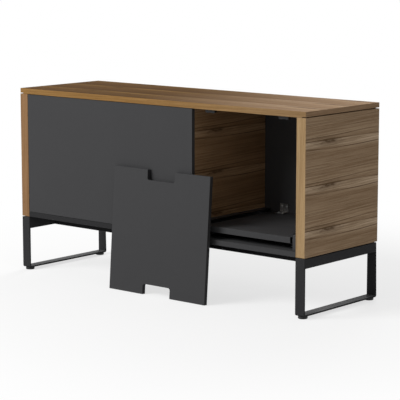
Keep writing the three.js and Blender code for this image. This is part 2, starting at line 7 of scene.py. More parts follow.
import bpy
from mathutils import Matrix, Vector


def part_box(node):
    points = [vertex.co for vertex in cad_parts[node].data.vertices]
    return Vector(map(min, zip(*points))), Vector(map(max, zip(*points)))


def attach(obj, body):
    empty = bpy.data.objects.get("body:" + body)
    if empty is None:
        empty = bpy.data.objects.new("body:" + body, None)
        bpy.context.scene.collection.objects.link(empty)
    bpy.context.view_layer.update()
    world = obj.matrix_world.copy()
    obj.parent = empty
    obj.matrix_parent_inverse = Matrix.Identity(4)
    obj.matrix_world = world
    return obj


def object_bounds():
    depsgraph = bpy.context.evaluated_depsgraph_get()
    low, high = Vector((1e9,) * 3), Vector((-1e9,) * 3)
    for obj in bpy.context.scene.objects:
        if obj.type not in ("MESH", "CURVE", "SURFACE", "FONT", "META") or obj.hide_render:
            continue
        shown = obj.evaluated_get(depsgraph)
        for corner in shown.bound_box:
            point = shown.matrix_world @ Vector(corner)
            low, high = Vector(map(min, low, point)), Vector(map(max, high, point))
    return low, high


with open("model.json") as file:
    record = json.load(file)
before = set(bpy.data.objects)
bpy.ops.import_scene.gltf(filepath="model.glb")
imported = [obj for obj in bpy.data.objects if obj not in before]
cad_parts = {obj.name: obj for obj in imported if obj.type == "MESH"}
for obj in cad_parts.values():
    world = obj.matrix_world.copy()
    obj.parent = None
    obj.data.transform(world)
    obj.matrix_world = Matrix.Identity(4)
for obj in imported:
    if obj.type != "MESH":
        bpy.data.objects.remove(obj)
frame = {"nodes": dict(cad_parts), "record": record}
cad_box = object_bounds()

MM = 0.001
WHITE = (1.0, 1.0, 1.0, 1.0)
nodes = frame["nodes"]
slot_of_node = {part["node"]: part["material_slot"] for part in frame["record"]["subparts"]}

# Camera, at the photograph's viewing angle
CAMERA_PLACE = Vector((-4.22429, 4.90392, 1.35473))
CAMERA_YAW = math.radians(40.393)
CAMERA_PITCH = math.radians(8.978)
CAMERA_LENS = 152.16
CAMERA_SENSOR = 36.0

# Light: a large soft lamp on the cable side, a weaker one on the door side, and an even surround
KEY_PLACE = Vector((2.0, 4.4, 3.6))
KEY_SIZE = 3.2
KEY_POWER = 260
FILL_PLACE = Vector((1.8, -4.6, 2.6))
FILL_SIZE = 3.0
FILL_POWER = 120
SURROUND_LIGHT = 0.36

# Floor: how pale it is to bounced light and to the eye, and how it fades to white from the middle
FLOOR_REACH = 14.0
FLOOR_BOUNCE = 0.58
FLOOR_SEEN = 0.97
FLOOR_GLOW = 0.68
FADE_START = 0.9
FADE_END = 2.2

# Materials

# Most values of a noise lie in this range
NOISE_RANGE = (0.3, 0.7)
# A face comes to count as square to an axis as its normal leans this far along it
FACE_TURN = (0.6, 0.8)
# The mix node's sockets for the share, the first, the second and the result, by what it mixes
MIX_SOCKETS = {"RGBA": (0, 6, 7, 2), "VECTOR": (0, 4, 5, 1)}


def colour(red, green, blue):
    """Screen values from 0 to 255 as the linear colour that a shader takes."""
    def linear(value):
        share = value / 255
        return share / 12.92 if share <= 0.04045 else ((share + 0.055) / 1.055) ** 2.4
    return (linear(red), linear(green), linear(blue), 1.0)


def shaded(tone, factor):
    """A colour made lighter or darker by a factor."""
    return tuple(factor * part for part in tone[:3]) + (1.0,)


class Finish:
    """One material: a Principled shader, and short calls that add nodes and join them."""

    def __init__(self, name, **constants):
        self.material = bpy.data.materials.new(name)
        self.material.use_nodes = True
        self.tree = self.material.node_tree
        self.tree.nodes.clear()
        self.surface = self.tree.nodes.new("ShaderNodeBsdfPrincipled")
        output = self.tree.nodes.new("ShaderNodeOutputMaterial")
        self.tree.links.new(self.surface.outputs["BSDF"], output.inputs["Surface"])
        for socket, value in constants.items():
            self.set(socket.replace("_", " "), value)

    def feed(self, socket, value):
        if isinstance(value, bpy.types.NodeSocket):
            self.tree.links.new(value, socket)
        else:
            socket.default_value = value

    def set(self, socket, value):
        self.feed(self.surface.inputs[socket], value)

    def add(self, kind, inputs=(), **settings):
        node = self.tree.nodes.new("ShaderNode" + kind)
        for name, value in settings.items():
            setattr(node, name, value)
        for socket, value in dict(inputs).items():
            self.feed(node.inputs[socket], value)
        return node

    def math(self, operation, first, second=0.0, third=0.0):
        node = self.add("Math", {0: first, 1: second, 2: third}, operation=operation)
        return node.outputs[0]

    def fall(self, value, rate):
        """1 where value is 0, and less the larger it is."""
        return self.math("EXPONENT", self.math("MULTIPLY", value, -rate))

    def axes(self, vector):
        return self.add("SeparateXYZ", {0: vector}).outputs

    def vector(self, x, y, z):
        return self.add("CombineXYZ", {0: x, 1: y, 2: z}).outputs[0]

    def scaled(self, vector, factors):
        node = self.add("VectorMath", {0: vector, 1: factors}, operation="MULTIPLY")
        return node.outputs[0]

    def place(self):
        """The point in the piece's own frame, in metres."""
        return self.add("TexCoord").outputs["Object"]

    def normal(self):
        return self.add("TexCoord").outputs["Normal"]

    def noise(self, vector, scale=1.0, detail=2.0, roughness=0.5):
        inputs = {"Vector": vector, "Scale": scale, "Detail": detail, "Roughness": roughness}
        return self.add("TexNoise", inputs).outputs["Fac"]

    def span(self, value, low, high, to_low=0.0, to_high=1.0):
        """value from low..high to to_low..to_high, eased and held at both ends."""
        inputs = {
            "Value": value,
            "From Min": low,
            "From Max": high,
            "To Min": to_low,
            "To Max": to_high,
        }
        return self.add("MapRange", inputs, interpolation_type="SMOOTHSTEP").outputs["Result"]

    def blended(self, kind, share, first, second, **settings):
        node = self.add("Mix", data_type=kind, **settings)
        *inputs, result = MIX_SOCKETS[kind]
        for socket, value in zip(inputs, (share, first, second)):
            self.feed(node.inputs[socket], value)
        return node.outputs[result]

    def mix(self, share, first, second, blend="MIX"):
        return self.blended("RGBA", share, first, second, blend_type=blend)

    def choose(self, share, first, second):
        """first where share is 0 and second where it is 1, as vectors."""
        return self.blended("VECTOR", share, first, second)

    def bump(self, height, distance, strength):
        inputs = {"Height": height, "Distance": distance, "Strength": strength}
        self.set("Normal", self.add("Bump", inputs).outputs["Normal"])


# Wood decor: a print that closes on itself across the grain, as it does round a roll

DECOR_REPEAT = 158 * MM
ROLL_RADIUS = DECOR_REPEAT / math.tau
GRAIN_LEAN = 0.025
# Over this span of X the painted light and sheen at -X give way to the deeper colour at +X
PAINTED_LIGHT_SPAN = (-0.8, 0.2)
# How fine each noise is along, across and through the grain
KNOT_NOISE = (30, 130, 130)
STREAK_NOISE = (2.4, 190, 190)
WANDER_NOISE = (1.2, 10, 10)
STRENGTH_NOISE = (2.6, 34, 34)
BAND_NOISE = (0.9, 34, 34)
CLOUD_NOISE = (2.2, 7, 7)
FIBRE_NOISE = (9, 620, 620)
PORE_NOISE = (70, 1500, 1500)
# Knots: their spacing along the grain and size, how ragged and tilted they are, and how their
# heart, their rings and the lines' parting round them fall off
KNOT_SPACING = 1.05
KNOT_LONG = 50 * MM
KNOT_TALL = 9 * MM
KNOT_DROP = 6 * MM
KNOT_RAGGED = 2.6
KNOT_TILT = 0.25
KNOT_RINGS = 5.0
KNOT_SHARE = 0.95
HEART_FALL = 0.7
HEART_SHARE = 0.85
RING_FALL = 0.5
RING_SPAN = (-0.1, 0.9)
PARTING_FALL = 0.3
PARTING_PUSH = 0.16
# Growth lines, and the seam, pale band and deeper colour that belong to each row of knots
LINES_PER_REPEAT = 5
LINE_WANDER = 2.2
LINE_CREST = (0.9, 1.0)
LINE_SHARES = (0.42, 0.7, 0.0, 0.7)
ROW_SWAY = 0.25
SEAM_HALF = 1.8 * MM
SEAM_SHARES = (0.3, 0.6, 0.3, 0.9)
PALE_FADES = (6 * MM, 40 * MM)
PALE_RAGGED = 24 * MM
PALE_RANGE = (0.25, 0.65)
PALE_LEAST = 0.4
# Colours, and the noise values between which each one's share goes from its least to its most
WALNUT_PALE = colour(214, 186, 154)
WALNUT_LIGHT = colour(188, 160, 128)
WALNUT_MEAN = colour(165, 136, 106)
WALNUT_DARK = colour(128, 101, 74)
WALNUT_LINE = colour(86, 65, 46)
FIBRE_SHADE = (0.72, 0.68, 0.62, 1.0)
PORE_SHADE = (0.5, 0.45, 0.38, 1.0)
LIGHT_SHARES = (0.25, 0.75, 0.2, 0.8)
MEAN_SHARES = (0.35, 0.7, 0.2, 0.7)
STREAK_SHARES = (0.44, 0.6, 0.0, 0.62)
BAND_STREAK_SHARES = (0.4, 0.6, 0.0, 0.7)
BAND_COVER = 0.8
FIBRE_SHARES = (0.32, 0.72, 0.0, 0.8)
PORE_SPAN = (0.6, 0.74)
PORE_SHARE = 0.6
# Surface
WALNUT_GLOSS = 0.004
WALNUT_ROUGHNESS = (0.25, 0.8, 0.46, 0.58)
FIBRE_HEIGHT = 0.5
WALNUT_RELIEF = 0.05 * MM

# The first field multiplies each colour towards -X and towards +X. It is painted light and sheen,
# which makes the -X end lighter and paler than the +X end. band is the edge band's own colour
# towards -X and towards +X. pale, deep and start: how pale the band under each row of knots is,
# how deep the colour past it, and the share of both at -X.
WalnutLook = namedtuple("WalnutLook", "drift band pale deep start")
# Sides and shelf: painted light makes the -X end lighter, where the key lamp leaves faces in shade
SIDE_LOOK = WalnutLook(
    drift=((1.36, 1.46, 1.61, 1.0), (0.66, 0.56, 0.4, 1.0)),
    band=(colour(184, 155, 114), colour(157, 123, 91)),
    pale=0.7,
    deep=0.25,
    start=1.0,
)
# Top: painted sheen makes its -X end lighter and paler
TOP_LOOK = WalnutLook(
    drift=((1.44, 1.5, 1.64, 1.0), (0.46, 0.36, 0.17, 1.0)),
    band=(colour(154, 126, 89), colour(167, 130, 82)),
    pale=1.0,
    deep=1.0,
    start=0.45,
)
# Where a knot lies on each board, along the grain and across it
SIDE_KNOT = (78 * MM, 474 * MM)
TOP_KNOT = (420 * MM, -55 * MM)
SHELF_KNOT = (100 * MM, 0.0)
# How far along the print the top and the shelf are cut, and how far up it lies on the top's ends
TOP_SHIFT = 2.3
SHELF_SHIFT = 7.1
TOP_LIFT = 50 * MM


class Walnut(Finish):
    """Printed walnut: bands, growth lines, fibres, pores and knots that repeat across the grain.
    Faces square to Y carry the edge band. The colour is painted lighter and paler towards -X, as
    light and sheen, and is deeper towards +X."""

    def __init__(self, name, along, look, knot, shift=0.0, lift=0.0):
        """along names the grain's axis on faces square to X, to Y and to Z. shift takes another
        stretch of the print and leaves the knots in place; lift moves it up on upright faces."""
        super().__init__(name, Specular_IOR_Level=WALNUT_GLOSS)
        self.look = look
        knot_along, knot_across = knot
        self.find_grain(along, lift)
        self.roll_print(knot_across, shift)
        self.streaks = self.noise(self.scaled(self.roll, STREAK_NOISE), detail=3, roughness=0.7)
        self.wander = self.noise(self.scaled(self.roll, WANDER_NOISE))
        self.strength = self.noise(self.scaled(self.roll, STRENGTH_NOISE), detail=3)
        self.draw_knots(knot_along + shift)
        self.draw_lines()
        self.draw_rows()
        self.coat(self.printed_tone())

    def find_grain(self, along, lift):
        """grain is (along the grain, across it, through) on each face of the board."""
        axis = dict(zip("XYZ", self.axes(self.place())))
        turn = dict(zip("XYZ", self.axes(self.normal())))
        ways = {}
        for square_to, run in zip("XYZ", along):
            across = (set("XYZ") - {square_to, run}).pop()
            step = self.math("SUBTRACT", axis["Z"], lift) if across == "Z" else axis[across]
            ways[square_to] = self.vector(axis[run], step, axis[square_to])
        on_x = self.span(self.math("ABSOLUTE", turn["X"]), *FACE_TURN)
        self.on_y = self.span(self.math("ABSOLUTE", turn["Y"]), *FACE_TURN)
        self.grain = self.choose(on_x, self.choose(self.on_y, ways["Z"], ways["Y"]), ways["X"])
        # Share of the deeper +X colour, against the painted light and sheen towards -X
        self.drift = self.span(axis["X"], *PAINTED_LIGHT_SPAN)

    def roll_print(self, knot_across, shift):
        """turn is the angle round the roll from the row of knots, and roll the point on it."""
        run, across = self.axes(self.grain)[0:2]
        self.run = self.math("ADD", run, shift)
        off_row = self.math("SUBTRACT", across, knot_across)
        self.turn = self.math("MULTIPLY", off_row, math.tau / DECOR_REPEAT)
        self.lean = self.math("MULTIPLY_ADD", self.run, GRAIN_LEAN / ROLL_RADIUS, self.turn)
        roll_y = self.math("MULTIPLY", self.math("COSINE", self.lean), ROLL_RADIUS)
        roll_z = self.math("MULTIPLY", self.math("SINE", self.lean), ROLL_RADIUS)
        self.roll = self.vector(self.run, roll_y, roll_z)

    def draw_knots(self, knot_along):
        """Hearts and rings, by how far a point is from the nearest knot along and across."""
        half = self.math("MULTIPLY_ADD", self.turn, 0.5, 0.5 * KNOT_DROP / ROLL_RADIUS)
        off_across = self.math("MULTIPLY", self.math("SINE", half), 2 * ROLL_RADIUS / KNOT_TALL)
        off_run = self.math("SUBTRACT", self.run, knot_along)
        off_run = self.math("SINE", self.math("MULTIPLY", off_run, math.pi / KNOT_SPACING))
        off_run = self.math("MULTIPLY", off_run, KNOT_SPACING / math.pi / KNOT_LONG)
        ragged = self.noise(self.scaled(self.roll, KNOT_NOISE), detail=3)
        ragged = self.math("MULTIPLY_ADD", ragged, KNOT_RAGGED, -KNOT_RAGGED / 2)
        off_run = self.math("ADD", off_run, ragged)
        off_across = self.math("ADD", off_across, self.math("MULTIPLY", off_run, KNOT_TILT))
        run_squared = self.math("POWER", off_run, 2.0)
        away = self.math("ADD", run_squared, self.math("POWER", off_across, 2.0))
        rings = self.math("SINE", self.math("MULTIPLY", self.math("SQRT", away), KNOT_RINGS))
        rings = self.math("MULTIPLY", self.span(rings, *RING_SPAN), self.fall(away, RING_FALL))
        heart = self.math("MULTIPLY", self.fall(away, HEART_FALL), HEART_SHARE)
        self.knot = self.math("MAXIMUM", heart, rings)
        self.parting = self.fall(away, PARTING_FALL)

    def draw_lines(self):
        """Growth lines run nearly straight and part round the knots."""
        lines = self.math("MULTIPLY", self.math("SUBTRACT", self.wander, 0.5), LINE_WANDER)
        lines = self.math("MULTIPLY_ADD", self.lean, LINES_PER_REPEAT / math.tau, lines)
        push = -PARTING_PUSH * ROLL_RADIUS / KNOT_TALL
        apart = self.math("MULTIPLY", self.math("SINE", self.turn), push)
        lines = self.math("ADD", lines, self.math("MULTIPLY", apart, self.parting))
        wave = self.math("SINE", self.math("MULTIPLY", lines, math.tau))
        crest = self.span(wave, *LINE_CREST)
        self.line = self.math("MULTIPLY", crest, self.span(self.strength, *LINE_SHARES))

    def draw_rows(self):
        """Each row of knots lies on a dark seam with a pale band and deeper colour under it."""
        row = self.math("MULTIPLY_ADD", self.wander, ROW_SWAY, -ROW_SWAY / 2)
        row = self.math("ADD", self.turn, row)
        seam = self.span(self.math("COSINE", row), math.cos(SEAM_HALF / ROLL_RADIUS), 1.0)
        seam = self.math("MULTIPLY", seam, self.span(self.strength, *SEAM_SHARES))
        self.line = self.math("MAXIMUM", self.line, seam)
        below = self.math("WRAP", self.math("MULTIPLY", row, -ROLL_RADIUS), DECOR_REPEAT)
        ragged = self.math("MULTIPLY_ADD", self.streaks, PALE_RAGGED, -PALE_RAGGED / 2)
        fades = self.span(self.math("ADD", below, ragged), *PALE_FADES, 1.0, 0.0)
        pale = self.math("MULTIPLY", self.span(below, 0.0, PALE_FADES[0]), fades)
        most = self.look.pale
        share = self.span(self.strength, *PALE_RANGE, PALE_LEAST * most, most)
        deep = self.span(below, PALE_FADES[1], DECOR_REPEAT, self.look.deep, 0.0)
        # The pale bands and deeper colour are weaker towards -X, under the painted light
        rows = self.math("MULTIPLY_ADD", self.drift, 1 - self.look.start, self.look.start)
        self.pale = self.math("MULTIPLY", self.math("MULTIPLY", pale, share), rows)
        self.deep = self.math("MULTIPLY", deep, rows)

    def printed_tone(self):
        """Broad bands, then rows, streaks, lines and knots, and the edge band over them."""
        bands = self.noise(self.scaled(self.roll, BAND_NOISE))
        cloud = self.noise(self.scaled(self.grain, CLOUD_NOISE))
        tone = self.mix(self.span(bands, *LIGHT_SHARES), WALNUT_DARK, WALNUT_LIGHT)
        tone = self.mix(self.span(cloud, *MEAN_SHARES), tone, WALNUT_MEAN)
        tone = self.mix(self.deep, tone, WALNUT_DARK)
        tone = self.mix(self.pale, tone, WALNUT_PALE)
        tone = self.mix(self.span(self.streaks, *STREAK_SHARES), tone, WALNUT_DARK)
        tone = self.mix(self.line, tone, WALNUT_LINE)
        tone = self.mix(self.math("MULTIPLY", self.knot, KNOT_SHARE), tone, WALNUT_LINE)
        # Painted light and sheen: lighter and paler towards -X, deeper towards +X
        tone = self.mix(1.0, tone, self.mix(self.drift, *self.look.drift), blend="MULTIPLY")
        band = self.mix(self.drift, *self.look.band)
        streaked = self.span(self.streaks, *BAND_STREAK_SHARES)
        band = self.mix(streaked, band, FIBRE_SHADE, blend="MULTIPLY")
        return self.mix(self.math("MULTIPLY", self.on_y, BAND_COVER), tone, band)

    def coat(self, tone):
        """Fibres and pores shade the print and give it relief."""
        fibres = self.noise(self.scaled(self.grain, FIBRE_NOISE), detail=3, roughness=0.65)
        pores = self.noise(self.scaled(self.grain, PORE_NOISE), detail=1)
        pore = self.span(pores, *PORE_SPAN)
        shade = self.mix(self.span(fibres, *FIBRE_SHARES), WHITE, FIBRE_SHADE)
        shade = self.mix(self.math("MULTIPLY", pore, PORE_SHARE), shade, PORE_SHADE)
        self.set("Base Color", self.mix(1.0, tone, shade, blend="MULTIPLY"))
        self.set("Roughness", self.span(fibres, *WALNUT_ROUGHNESS))
        height = self.math("SUBTRACT", self.math("MULTIPLY", fibres, FIBRE_HEIGHT), pore)
        self.bump(height, WALNUT_RELIEF, strength=0.7)


# Anthracite melamine

ANTHRACITE = colour(64, 64, 65)
ANTHRACITE_GLOSS = 0.06
ANTHRACITE_ROUGHNESS = (0.45, 0.56)
PEARL_GRAIN = 900
PEARL_LIGHT = 1.28
PEARL_DARK = 0.8
FINE_PEARL_GRAIN = 2600
FINE_PEARL_HEIGHT = 0.4
PEARL_RELIEF = 0.06 * MM
BOARD_CLOUD_GRAIN = 6
BOARD_CLOUD_SHARES = (0.35, 0.75)
# A dark tone painted on edges: shade on the edges square to X, shadow on the rear edge
EDGE_SHADE = colour(34, 34, 35)
SIDE_SHADE_SHARE = 0.4
REAR_SHADOW_SHARE = 0.75
SHADOW_START_WIDTH = 1 * MM


def anthracite(name, painted_side_shade=0.0, painted_shadow_past=None):
    """Matt melamine: a fine pearl texture and slight clouding.
    The second argument is how much darker the edges square to X are painted, as shade, and the
    third is the X past which the edge towards +Y is painted darker, as the fixed back's shadow."""
    finish = Finish(name, Specular_IOR_Level=ANTHRACITE_GLOSS)
    place = finish.place()
    pearl = finish.noise(place, PEARL_GRAIN, detail=3, roughness=0.6)
    fine = finish.noise(place, FINE_PEARL_GRAIN, detail=1)
    cloud = finish.noise(place, BOARD_CLOUD_GRAIN, detail=4)
    dark = shaded(ANTHRACITE, PEARL_DARK)
    light = shaded(ANTHRACITE, PEARL_LIGHT)
    shade = finish.mix(finish.span(pearl, *NOISE_RANGE), dark, light)
    clouded = finish.span(cloud, *NOISE_RANGE, *BOARD_CLOUD_SHARES)
    shade = finish.mix(clouded, shade, ANTHRACITE)
    # Painted shade: the edges square to X darker
    if painted_side_shade:
        turn = finish.math("ABSOLUTE", finish.axes(finish.normal())[0])
        shade = finish.mix(finish.span(turn, *FACE_TURN, 0.0, painted_side_shade), shade, EDGE_SHADE)
    # Painted shadow: the rear edge darker past the fixed back panel's edge
    if painted_shadow_past is not None:
        edge = finish.span(finish.axes(finish.normal())[1], *FACE_TURN, 0.0, REAR_SHADOW_SHARE)
        past = finish.span(finish.axes(place)[0], painted_shadow_past, painted_shadow_past + SHADOW_START_WIDTH)
        shade = finish.mix(finish.math("MULTIPLY", edge, past), shade, EDGE_SHADE)
    finish.set("Base Color", shade)
    finish.set("Roughness", finish.span(cloud, *NOISE_RANGE, *ANTHRACITE_ROUGHNESS))
    height = finish.math("ADD", pearl, finish.math("MULTIPLY", fine, FINE_PEARL_HEIGHT))
    finish.bump(height, PEARL_RELIEF, strength=0.6)
    return finish.material


# Powder coat

POWDER_BLACK = colour(44, 44, 45)
# A darker black painted on the underframe beams, as the shade they stand in under the carcass
BEAM_SHADE_BLACK = colour(25, 25, 26)
POWDER_GLOSS = 0.035
POWDER_ROUGHNESS = (0.42, 0.54)
PEEL_GRAIN = 750
PEEL_LIGHT = 1.7
GRIT_GRAIN = 2200
GRIT_HEIGHT = 0.5
POWDER_RELIEF = 0.05 * MM
PATCH = colour(64, 64, 66)
PATCH_GRAIN = 14
PATCH_SHARES = (0.56, 0.8, 0.0, 0.35)
# A lighter tone painted on level faces as sheen, in patches: its colour, share, lean and patches
TOP_SHEEN = colour(95, 95, 96)
TOP_SHEEN_SHARE = 0.9
TOP_SHEEN_TURN = (0.6, 0.95)
TOP_SHEEN_PATCHES = (0.3, 0.6, 0.85, 1.0)


def powder_coat(name, tone, painted_sheen=0.0):
    """Fine-textured black powder coat with faint patches.
    The third argument is the share of a lighter tone painted on level faces, in patches, as sheen."""
    finish = Finish(name, Specular_IOR_Level=POWDER_GLOSS)
    place = finish.place()
    peel = finish.noise(place, PEEL_GRAIN)
    grit = finish.noise(place, GRIT_GRAIN, detail=1)
    patches = finish.noise(place, PATCH_GRAIN, detail=5, roughness=0.6)
    shade = finish.mix(finish.span(peel, *NOISE_RANGE), tone, shaded(tone, PEEL_LIGHT))
    shade = finish.mix(finish.span(patches, *PATCH_SHARES), shade, PATCH)
    # Painted sheen: level faces lighter, in patches
    if painted_sheen:
        level = finish.span(finish.axes(finish.normal())[2], *TOP_SHEEN_TURN, 0.0, painted_sheen)
        level = finish.math("MULTIPLY", level, finish.span(patches, *TOP_SHEEN_PATCHES))
        shade = finish.mix(level, shade, TOP_SHEEN)
    finish.set("Base Color", shade)
    finish.set("Roughness", finish.span(patches, *NOISE_RANGE, *POWDER_ROUGHNESS))
    height = finish.math("ADD", peel, finish.math("MULTIPLY", grit, GRIT_HEIGHT))
    finish.bump(height, POWDER_RELIEF, strength=0.5)
    return finish.material


# Zinc plate, bright or dark, each as a light, a dark and a streak. The dark plate on the slides is
# painted shade

BRIGHT_ZINC = (colour(206, 207, 205), colour(168, 170, 172), colour(140, 142, 146))
DARK_ZINC = (colour(66, 67, 70), colour(50, 51, 54), colour(38, 39, 42))
ZINC_ROUGHNESS = (0.24, 0.38)
DRAWN_NOISE = (900, 12, 900)
STREAKED_SHARES = (0.55, 0.8, 0.0, 0.35)
ZINC_CLOUD_GRAIN = 60
ZINC_RELIEF = 0.02 * MM


def zinc_plate(name, light, dark, streak):
    """Zinc plate with a faint drawn grain along Y and cloudy patches."""
    finish = Finish(name, Metallic=1.0)
    place = finish.place()
    drawn = finish.noise(finish.scaled(place, DRAWN_NOISE))
    cloud = finish.noise(place, ZINC_CLOUD_GRAIN, detail=4)
    shade = finish.mix(finish.span(cloud, *NOISE_RANGE), dark, light)
    shade = finish.mix(finish.span(drawn, *STREAKED_SHARES), shade, streak)
    finish.set("Base Color", shade)
    finish.set("Roughness", finish.span(drawn, *NOISE_RANGE, *ZINC_ROUGHNESS))
    finish.bump(drawn, ZINC_RELIEF, strength=0.5)
    return finish.material


# Moulded plastic

PLASTIC_BLACK = colour(18, 18, 19)
PLASTIC_LIGHT = 1.6
PLASTIC_GLOSS = 0.35
PLASTIC_ROUGHNESS = (0.5, 0.64)
SPARK_GRAIN = 1800
PLASTIC_CLOUD_GRAIN = 40
SPARK_RELIEF = 0.04 * MM


def moulded(name, tone):
    """Matt moulded plastic with a fine spark-eroded texture."""
    finish = Finish(name, Specular_IOR_Level=PLASTIC_GLOSS)
    place = finish.place()
    spark = finish.noise(place, SPARK_GRAIN)
    cloud = finish.noise(place, PLASTIC_CLOUD_GRAIN, detail=3)
    shade = finish.mix(finish.span(cloud, *NOISE_RANGE), tone, shaded(tone, PLASTIC_LIGHT))
    finish.set("Base Color", shade)
    finish.set("Roughness", finish.span(spark, *NOISE_RANGE, *PLASTIC_ROUGHNESS))
    finish.bump(spark, SPARK_RELIEF, strength=0.6)
    return finish.material


# Anodised aluminium

ANODISED_DARK = colour(58, 59, 62)
ANODISED_LIGHT = colour(78, 79, 82)
ANODISED_CLOUD = colour(70, 70, 72)
ANODISED_CLOUD_GRAIN = 30
ANODISED_CLOUD_SHARES = (0.4, 0.8, 0.0, 0.3)
ANODISED_METAL = 0.85
ANODISED_ROUGHNESS = (0.32, 0.44)
DIE_NOISE = (3, 1500, 1500)
DIE_RELIEF = 0.02 * MM


def extruded(name):
    """Dark anodised extrusion with die lines along X."""
    finish = Finish(name, Metallic=ANODISED_METAL)
    place = finish.place()
    die = finish.noise(finish.scaled(place, DIE_NOISE))
    cloud = finish.noise(place, ANODISED_CLOUD_GRAIN, detail=3)
    shade = finish.mix(finish.span(die, *NOISE_RANGE), ANODISED_DARK, ANODISED_LIGHT)
    shade = finish.mix(finish.span(cloud, *ANODISED_CLOUD_SHARES), shade, ANODISED_CLOUD)
    finish.set("Base Color", shade)
    finish.set("Roughness", finish.span(die, *NOISE_RANGE, *ANODISED_ROUGHNESS))
    finish.bump(die, DIE_RELIEF, strength=0.5)
    return finish.material


# The finish of each slot, and of the nodes that have their own

finishes = {
    "anthracite": anthracite("anthracite_board"),
    "black_steel": powder_coat("black_powder_coat", POWDER_BLACK),
    "zinc_steel": zinc_plate("zinc_plate", *BRIGHT_ZINC),
    "black_plastic": moulded("black_plastic", PLASTIC_BLACK),
    "dark_aluminium": extruded("dark_anodised"),
}
walnut_side = Walnut("walnut_side", "YZY", SIDE_LOOK, SIDE_KNOT).material
walnut_top = Walnut("walnut_top", "YXX", TOP_LOOK, TOP_KNOT, TOP_SHIFT, TOP_LIFT).material
walnut_shelf = Walnut("walnut_shelf", "YXX", SIDE_LOOK, SHELF_KNOT, SHELF_SHIFT).material
# Doors, tray front and lift-out panel: edges square to X painted darker, as shade
upright_panel = anthracite("anthracite_upright", painted_side_shade=SIDE_SHADE_SHARE)
# The bottom board's rear edge is painted darker, as shadow, where the fixed back stands over it
fixed_back_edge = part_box("back_panel_fixed")[0].x
floor_panel = anthracite("anthracite_floor", painted_shadow_past=fixed_back_edge)
# The leg loops' level faces get the painted sheen
sheened_coat = powder_coat("sheened_powder_coat", POWDER_BLACK, painted_sheen=TOP_SHEEN_SHARE)
# The underframe beams are painted darker, as shade
beam_shade_coat = powder_coat("beam_shade_powder_coat", BEAM_SHADE_BLACK)
dark_zinc = zinc_plate("dark_zinc", *DARK_ZINC)
own_finish = {
    "bottom_panel": floor_panel,
    "back_panel_lift_out": upright_panel,
    "door_left": upright_panel,
    "door_right": upright_panel,
    "tray_front": upright_panel,
    "top_panel": walnut_top,
    "side_panel_left": walnut_side,
    "side_panel_right": walnut_side,
    "bay_partition": walnut_side,
    "cupboard_shelf": walnut_shelf,
    "leg_loop_left": sheened_coat,
    "leg_loop_right": sheened_coat,
    "underframe_beam_front": beam_shade_coat,
    "underframe_beam_rear": beam_shade_coat,
}
# The slides take the dark zinc as painted shade
for member in ("outer", "middle", "inner"):
    for side in ("left", "right"):
        own_finish[f"slide_{member}_{side}"] = dark_zinc

# Softened edges

# Facets that meet at less than this are one round face; a ball's are coarser
FACET_ANGLE = math.radians(35)
BALL_FACET_ANGLE = math.radians(52)
MERGE_WITHIN = 0.01 * MM
FLAT_ANGLE = math.radians(0.5)
EDGE_SEGMENTS = 2
EDGE_RADIUS = {
    "walnut": 0.9 * MM,
    "anthracite": 0.9 * MM,
    "black_steel": 0.7 * MM,
    "zinc_steel": 0.2 * MM,
    "black_plastic": 0.4 * MM,
    "dark_aluminium": 0.3 * MM,
}


def smoothing_group():
    """A modifier's nodes: join the facets' corners and shade them smooth up to a given angle."""
    group = bpy.data.node_groups.new("smooth_facets", "GeometryNodeTree")
    group.interface.new_socket("Geometry", in_out="INPUT", socket_type="NodeSocketGeometry")
    angle = group.interface.new_socket("Angle", in_out="INPUT", socket_type="NodeSocketFloat")
    angle.default_value = FACET_ANGLE
    group.interface.new_socket("Geometry", in_out="OUTPUT", socket_type="NodeSocketGeometry")
    start = group.nodes.new("NodeGroupInput")
    bare = group.nodes.new("GeometryNodeRemoveAttribute")
    bare.inputs["Name"].default_value = "custom_normal"
    merge = group.nodes.new("GeometryNodeMergeByDistance")
    merge.inputs["Distance"].default_value = MERGE_WITHIN
    faces = group.nodes.new("GeometryNodeSetShadeSmooth")
    faces.domain = "FACE"
    edges = group.nodes.new("GeometryNodeSetShadeSmooth")
    edges.domain = "EDGE"
    turn = group.nodes.new("GeometryNodeInputMeshEdgeAngle")
    below = group.nodes.new("FunctionNodeCompare")
    below.operation = "LESS_THAN"
    end = group.nodes.new("NodeGroupOutput")
    links = group.links
    links.new(start.outputs["Geometry"], bare.inputs["Geometry"])
    links.new(bare.outputs["Geometry"], merge.inputs["Geometry"])
    links.new(merge.outputs["Geometry"], faces.inputs["Geometry"])
    links.new(faces.outputs["Geometry"], edges.inputs["Geometry"])
    links.new(turn.outputs["Unsigned Angle"], below.inputs["A"])
    links.new(start.outputs["Angle"], below.inputs["B"])
    links.new(below.outputs["Result"], edges.inputs["Shade Smooth"])
    links.new(edges.outputs["Geometry"], end.inputs["Geometry"])
    return group, angle.identifier


SMOOTHING, SMOOTHING_ANGLE = smoothing_group()


def soften(piece, radius, facet_angle):
    smooth = piece.modifiers.new("smooth_facets", "NODES")
    smooth.node_group = SMOOTHING
    smooth[SMOOTHING_ANGLE] = facet_angle
    flat = piece.modifiers.new("flat_faces", "DECIMATE")
    flat.decimate_type = "DISSOLVE"
    flat.angle_limit = FLAT_ANGLE
    bevel = piece.modifiers.new("soft_edges", "BEVEL")
    bevel.width = radius
    bevel.segments = EDGE_SEGMENTS
    bevel.limit_method = "ANGLE"
    bevel.angle_limit = facet_angle
    bevel.harden_normals = True


for name, node in nodes.items():
    slot = slot_of_node[name]
    node.data.materials.clear()
    node.data.materials.append(own_finish.get(name) or finishes[slot])
    soften(node, EDGE_RADIUS[slot], BALL_FACET_ANGLE if "ball_cage" in name else FACET_ANGLE)

# Fittings: screws and weld beads, each a skin over rings of points

RING_SIDES = 48
